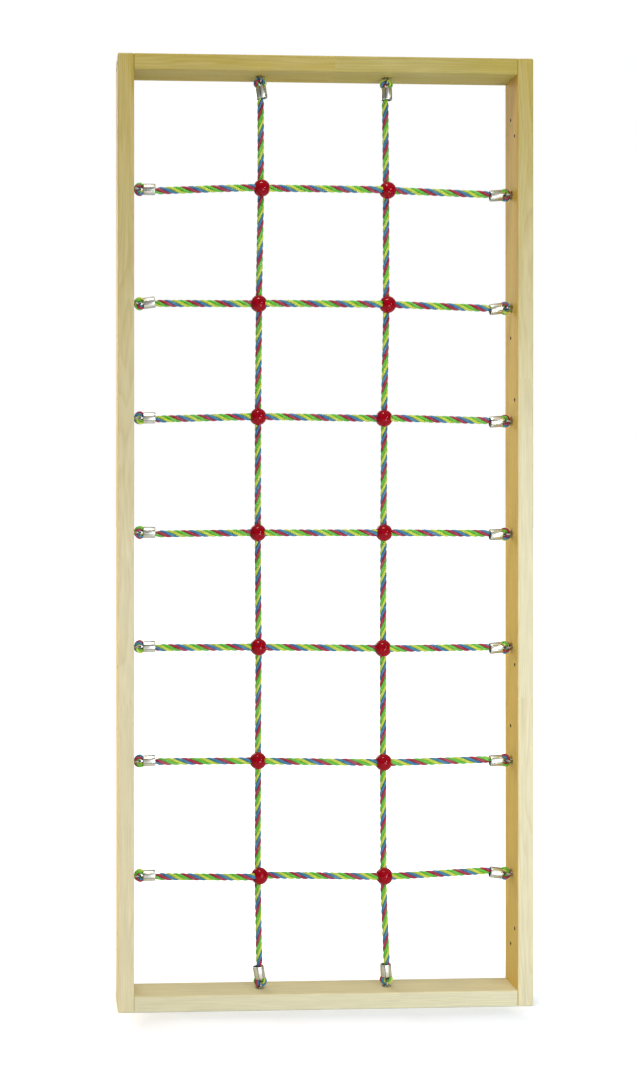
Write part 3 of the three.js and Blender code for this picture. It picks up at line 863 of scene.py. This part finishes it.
def build_eye(name, end):
    """A screw eye: its ring stands edge-on to the net's plane, with its root sunk in the board."""
    wire_sides = 20
    ring_steps = 56
    wire = round_ring(EYE_WIRE_RADIUS, 0, wire_sides)
    ring_centre = np.array([0, 0, EYE_RING_HEIGHT])
    sideways = np.array([1, 0, 0])
    rings = []
    for i in range(ring_steps):
        angle = 2 * math.pi * i / ring_steps
        outward = np.array([0, math.cos(angle), math.sin(angle)])
        section = wire[:, :1] * outward + wire[:, 1:2] * sideways
        rings.append(ring_centre + outward * EYE_RING_RADIUS + section)
    ring_vertices = np.array(rings).reshape(-1, 3)
    ring_faces = loft_faces(ring_steps, wire_sides, closed=True)

    root = EYE_RING_HEIGHT - EYE_RING_RADIUS
    shank = [
        (EYE_TIP_RADIUS, -EYE_SHANK_DEPTH),
        (EYE_SHANK_RADIUS, EYE_SHANK_POINT - EYE_SHANK_DEPTH),
        (EYE_SHANK_RADIUS, root - EYE_NECK),
        (EYE_SHANK_RADIUS * 1.2, root),
    ]
    shank_rings = [round_ring(radius, height, wire_sides) for radius, height in shank]
    shank_vertices = np.array(shank_rings).reshape(-1, 3)
    first = len(ring_vertices)
    shank_faces = [tuple(i + first for i in face) for face in loft_faces(len(shank), wire_sides)]
    vertices = np.vstack([ring_vertices, shank_vertices])
    piece = mesh_object(name, vertices, ring_faces + shank_faces, BRIGHT_ZINC)
    piece.matrix_world = end.eye_matrix()
    return piece


def screw_thread(start, end):
    """The outline of a thread's crests and valleys, from the height start down to end."""
    outline = []
    for i in range(int((start - end) / THREAD_PITCH)):
        crest = start - (i + 0.5) * THREAD_PITCH
        outline += [(SCREW_RADIUS, crest), (SCREW_RADIUS * 0.7, crest - THREAD_PITCH / 2)]
    return outline


def build_corner_screw(name):
    """A countersunk wood screw with a six-lobed recess in its head, threaded towards its point."""
    low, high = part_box(name)
    length = high.x - low.x
    outward = 1 if centre(name).x > 0 else -1
    head_x = high.x if outward > 0 else low.x
    angle = 2 * math.pi * np.arange(SCREW_POINTS) / SCREW_POINTS
    lobes = 2.4 * MM + 0.5 * MM * np.cos(6 * angle)
    head_bevel = 0.3 * MM
    recess = [
        (lobes * 0.2, -RECESS_DEPTH),
        (lobes * 0.85, RECESS_CHAMFER - RECESS_DEPTH),
        (lobes, -RECESS_CHAMFER),
        (lobes + RECESS_CHAMFER, 0),
    ]
    head = [
        (SCREW_HEAD_RADIUS - head_bevel, 0),
        (SCREW_HEAD_RADIUS, -head_bevel),
        (SCREW_RADIUS * 1.05, -SCREW_HEAD_HEIGHT),
        (SCREW_RADIUS * 0.8, -SCREW_HEAD_HEIGHT - 2 * MM),
    ]
    shank = [(SCREW_RADIUS * 0.8, THREAD_START)] + screw_thread(THREAD_START, SCREW_TIP - length)
    outline = recess + head + shank + [(0.2 * MM, -length)]
    rings = [round_ring(radius, height, SCREW_POINTS) for radius, height in outline]
    piece = loft(name.replace("corner", "wood"), rings[::-1], YELLOW_ZINC)
    head_place = (head_x, centre(name).y, centre(name).z)
    piece.matrix_world = axes_matrix((0, 1, 0), (0, 0, outward), (outward, 0, 0), head_place)
    return piece


# ------------------------------------------------------------------ balls


def drill(axis):
    """The straight cutter of one of a ball's bores."""
    bm = bmesh.new()
    turn = Matrix.Rotation(math.pi / 2, 4, "Y") if axis == "X" else Matrix.Identity(4)
    place = Matrix.Translation((0, BORE_DEPTH[axis], 0)) @ turn
    radius = BORE_RADIUS[axis]
    bmesh.ops.create_cone(bm, cap_ends=True, segments=64, radius1=radius, radius2=radius,
                          depth=3 * BALL_RADIUS, matrix=place)
    return bmesh_object("drill", bm)


def restore_sphere(ball):
    """Puts all but the bores and their lips back on the true radius, from which smoothing pulled them."""
    points = np.empty(len(ball.vertices) * 3)
    ball.vertices.foreach_get("co", points)
    points = points.reshape(-1, 3)
    from_row = np.hypot(points[:, 1] - BORE_DEPTH["X"], points[:, 2]) - BORE_RADIUS["X"]
    from_column = np.hypot(points[:, 1] - BORE_DEPTH["Z"], points[:, 0]) - BORE_RADIUS["Z"]
    clear = np.minimum(from_row, from_column)
    distance = np.linalg.norm(points, axis=1)
    on_sphere = smooth_step(clear, *BALL_LIP) * (distance > 0.9 * BALL_RADIUS)
    points *= (1 + (BALL_RADIUS / distance - 1) * on_sphere)[:, None]
    ball.vertices.foreach_set("co", points.ravel())
    ball.update()


def bored_ball_mesh():
    """A ball with two crossing bores, the row's in front and the column's behind, with round lips."""
    bm = bmesh.new()
    bmesh.ops.create_uvsphere(bm, u_segments=96, v_segments=64, radius=BALL_RADIUS)
    blank = bmesh_object("bored_ball_blank", bm)
    drills = [drill(axis) for axis in BORE_RADIUS]
    for cutter in drills:
        cut = blank.modifiers.new("bore", "BOOLEAN")
        cut.operation = "DIFFERENCE"
        cut.solver = "EXACT"
        cut.object = cutter
    remesh = blank.modifiers.new("remesh", "REMESH")
    remesh.mode = "VOXEL"
    remesh.voxel_size = BALL_VOXEL
    soften = blank.modifiers.new("soften", "SMOOTH")
    soften.iterations = 6
    bpy.context.view_layer.update()
    graph = bpy.context.evaluated_depsgraph_get()
    ball = bpy.data.meshes.new_from_object(blank.evaluated_get(graph))
    ball.name = "bored_ball"
    for helper in (blank, *drills):
        bpy.data.objects.remove(helper)
    restore_sphere(ball)
    ball.shade_smooth()
    ball.materials.clear()
    ball.materials.append(RED_PLASTIC)
    return ball


# ------------------------------------------------------------------ assembly of the net

ball_mesh = bored_ball_mesh()
ball_frames = {(row, side): ball_frame(row, side) for row in ROWS for side in SIDES}
for (row, side), place in ball_frames.items():
    piece = bpy.data.objects.new(f"red_ball_{row}_{side}", ball_mesh)
    bpy.context.scene.collection.objects.link(piece)
    piece.matrix_world = place @ Matrix.Translation((0, -ROPE_DEPTH - BALL_DEPTH, 0))
    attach(piece, "root")
    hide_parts(f"ball_{row}_{side}")


def fit_ends(rope_node, ends, label):
    """The ferrule on each of a rope's ends, and the eye that holds it."""
    for place, end in ends.items():
        seed = sum(ord(letter) for letter in f"{label}_{place}")
        ferrule = build_ferrule(f"ferrule_{label}_{place}", end, seed)
        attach(ferrule, "root")
        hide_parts(rope_node)
        eye = build_eye(f"eye_{label}_{place}", end)
        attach(eye, "root")
        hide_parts(f"screw_eye_{label}_{place}")


for row in ROWS:
    ends = row_ends(row)
    node = f"row_rope_{row}"
    middle = []
    for side in SIDES:
        middle += bore_stations(ball_frames[row, side], (0, -2 * ROPE_DEPTH, 0), (1, 0, 0), ROW_ROPE_RADIUS)
    stations = rope_stations(ends["left"], ends["right"], middle, ROW_ROPE_RADIUS)
    order = STRAND_ORDER[:1] + STRAND_ORDER[:0:-1] if row in TURNED_ROWS else STRAND_ORDER
    build_rope(node, stations, 0, ROW_TWISTS[row - 1], order)
    fit_ends(node, ends, str(row))

for side in SIDES:
    ends = column_ends(side)
    node = f"column_rope_{side}"
    middle = []
    for row in ROWS:
        middle += bore_stations(ball_frames[row, side], (0, 0, 0), (0, 0, 1), COLUMN_ROPE_RADIUS)
    stations = rope_stations(ends["bottom"], ends["top"], middle, COLUMN_ROPE_RADIUS)
    build_rope(node, stations, 2, COLUMN_TWISTS[side], STRAND_ORDER)
    fit_ends(node, ends, side)

for node in sorted(frame["nodes"]):
    if node.startswith("corner_screw"):
        screw = build_corner_screw(node)
        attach(screw, "root")
        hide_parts(node)

# ------------------------------------------------------------------ studio and camera

FLOOR_RADIUS = 60
CAMERA_PLACE = (-0.60, -3.4725, 1.095)
CAMERA_TURN = math.radians(3)
CAMERA_LENS = 53.56
CAMERA_SHIFT = (0.173, -0.037)


def area_light(name, place, target, size, power, colour=(1, 1, 1), mirrored=True):
    """A square soft light; where it isn't mirrored, no shiny surface shows it."""
    light = bpy.data.lights.new(name, "AREA")
    light.color = colour
    light.shape = "SQUARE"
    light.size = size
    light.energy = power
    lamp = bpy.data.objects.new(name, light)
    bpy.context.scene.collection.objects.link(lamp)
    lamp.visible_glossy = mirrored
    lamp.location = place
    lamp.rotation_euler = (Vector(target) - Vector(place)).to_track_quat("-Z", "Y").to_euler()


def studio_sky():
    """White where the camera sees it; it lights the object less, and mostly from above."""
    world = bpy.data.worlds.new("studio")
    bpy.context.scene.world = world
    world.use_nodes = True
    sky = world.node_tree
    sky.nodes.clear()
    toward = add(sky, "ShaderNodeTexCoord").outputs["Generated"]
    rise = add(sky, "ShaderNodeSeparateXYZ", {0: toward}).outputs["Z"]
    glow = remap(sky, rise, (0.05, 0.9), (0.07, 0.42))
    seen = add(sky, "ShaderNodeBackground", {"Color": (1, 1, 1, 1), "Strength": 1.0}).outputs[0]
    lighting = add(sky, "ShaderNodeBackground", {"Color": (1, 1, 1, 1), "Strength": glow}).outputs[0]
    direct = add(sky, "ShaderNodeLightPath").outputs["Is Camera Ray"]
    chosen = add(sky, "ShaderNodeMixShader", {0: direct, 1: lighting, 2: seen}).outputs[0]
    add(sky, "ShaderNodeOutputWorld", {"Surface": chosen})


def shifted_camera():
    """A camera well to the left of the frame, which looks nearly straight at the wall behind it.

    Most of the turn towards the frame is a lens shift, so the boards stay almost parallel.
    """
    data = bpy.data.cameras.new("camera")
    data.lens = CAMERA_LENS
    data.shift_x, data.shift_y = CAMERA_SHIFT
    camera = bpy.data.objects.new("camera", data)
    bpy.context.scene.collection.objects.link(camera)
    camera.location = CAMERA_PLACE
    camera.rotation_euler = (math.pi / 2, 0, -CAMERA_TURN)
    return camera


circle = bmesh.new()
bmesh.ops.create_circle(circle, cap_ends=True, segments=96, radius=FLOOR_RADIUS)
floor_object = bmesh_object("floor", circle)
floor_object.data.materials.append(studio_floor())

area_light("key", (2.2, -3.0, 2.1), (0, 0, 0.4), size=0.6, power=31)
area_light("low_fill", (0.9, -2.4, 0.3), (0.1, 0, 0.3), size=1.0, power=30)
area_light("top", (-0.4, -0.8, 4.0), (0, 0, 0), size=0.9, power=44, colour=(1, 0.92, 0.8))
area_light("back", (-1.5, 3.4, 2.4), (0, 0, 1.0), size=2.0, power=50)
area_light("warm_side", (-2.3, 0.1, 0.9), (0.4, 0, 1.0), size=0.7, power=24, colour=(1, 0.66, 0.26),
           mirrored=False)
studio_sky()
bpy.context.scene.camera = shifted_camera()
bpy.context.scene.view_settings.view_transform = "Standard"
